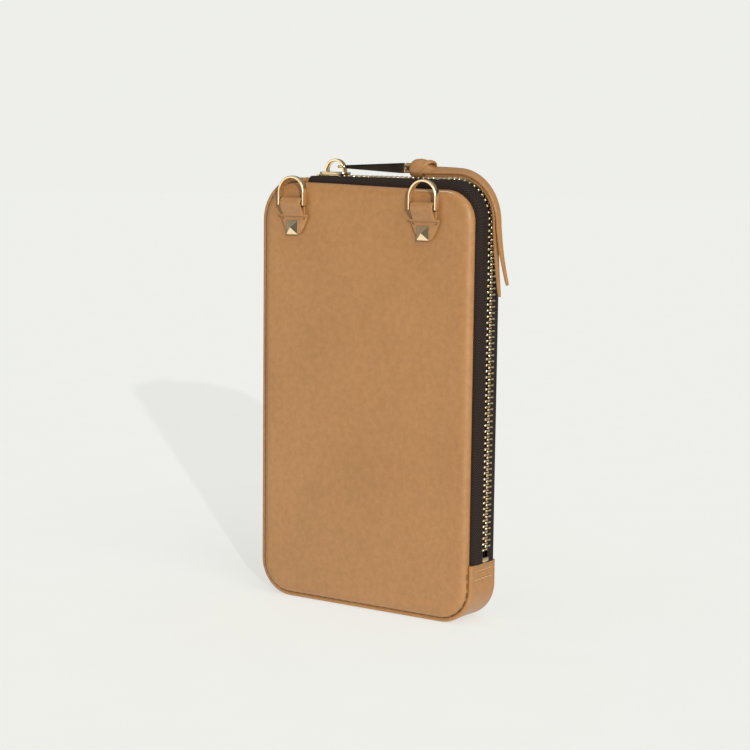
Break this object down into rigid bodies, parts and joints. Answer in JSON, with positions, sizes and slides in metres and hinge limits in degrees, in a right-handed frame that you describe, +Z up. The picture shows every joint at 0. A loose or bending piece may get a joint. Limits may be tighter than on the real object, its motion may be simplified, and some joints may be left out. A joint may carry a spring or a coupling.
{
  "type": "zip-around phone wallet case",
  "caption": "Upright leather phone wallet with padded panels, L-shaped zip, knotted pull and folding strap rings; holds a phone and cards inside.",
  "frame": {"origin": "centre of the flat base of the bottom gusset, midway between the panels", "axes": "+X towards the zip side, -Y is the front with the rings and studs, +Z up"},
  "size_m": [0.1222, 0.0292, 0.2014],
  "materials": {
    "tan_leather": "fine smooth grain",
    "foam": "soft foam padding",
    "board": "bonded leather board",
    "lining": "woven lining cloth",
    "zip_tape": "herringbone tape",
    "gold_metal": "polished pale gold plating",
    "antique_metal": "dark polished plating"
  },
  "bodies": {
    "rear_half": {"rear_cover": "tan_leather", "rear_padding": "foam", "rear_stiffener": "board", "rear_lining": "lining", "gusset": "tan_leather", "zip_tape_rear": "zip_tape", "zip_teeth_rear": "gold_metal", "zip_top_stop_rear": "gold_metal", "zip_bottom_stop": "gold_metal", "phone_pocket": "tan_leather", "pocket_binding": "tan_leather"},
    "front_half": {"front_cover": "tan_leather", "front_padding": "foam", "front_stiffener": "board", "front_lining": "lining", "zip_tape_front": "zip_tape", "zip_teeth_front": "gold_metal", "zip_top_stop_front": "gold_metal", "ring_tab_left": "tan_leather", "ring_tab_right": "tan_leather", "pyramid_studs": "gold_metal", "stud_caps": "gold_metal", "card_slot_1": "tan_leather", "card_slot_2": "tan_leather", "card_slot_3": "tan_leather", "card_slot_4": "tan_leather"},
    "slider": {"slider_body": "gold_metal", "slider_bridge": "gold_metal"},
    "puller": {"puller_bar": "antique_metal"},
    "leather_pull": {"pull_loop": "tan_leather", "pull_knot": "tan_leather", "pull_tail_inner": "tan_leather", "pull_tail_outer": "tan_leather"},
    "ring_left": {"strap_ring_left": "gold_metal"},
    "ring_right": {"strap_ring_right": "gold_metal"}
  },
  "joints": [
    {"name": "front_opening", "type": "hinge", "parent": "rear_half", "child": "front_half", "pos_m": [-0.0547, -0.0086, 0.0955], "axis": [0, 0, -1], "range_deg": [0, 8], "deforming": ["gusset", "zip_tape_front", "zip_teeth_front", "zip_top_stop_front"]},
    {"name": "slider_travel", "type": "slide", "parent": "rear_half", "child": "slider", "axis": [1, 0, 0], "range_m": [0, 0.056], "deforming": ["zip_teeth_rear"]},
    {"name": "puller_swing", "type": "hinge", "parent": "slider", "child": "puller", "pos_m": [-0.0237, 0, 0.19412], "axis": [0, -1, 0], "range_deg": [0, 130]},
    {"name": "leather_pull_swing", "type": "hinge", "parent": "puller", "child": "leather_pull", "pos_m": [0.01505, 0, 0.19602], "axis": [0, -1, 0], "range_deg": [0, 60]},
    {"name": "ring_left_fold", "type": "hinge", "parent": "front_half", "child": "ring_left", "pos_m": [-0.0366, -0.01498, 0.1798], "axis": [1, 0, 0], "range_deg": [-3, 145]},
    {"name": "ring_right_fold", "type": "hinge", "parent": "front_half", "child": "ring_right", "pos_m": [0.0325, -0.01498, 0.1798], "axis": [1, 0, 0], "range_deg": [-3, 145]}
  ]
}
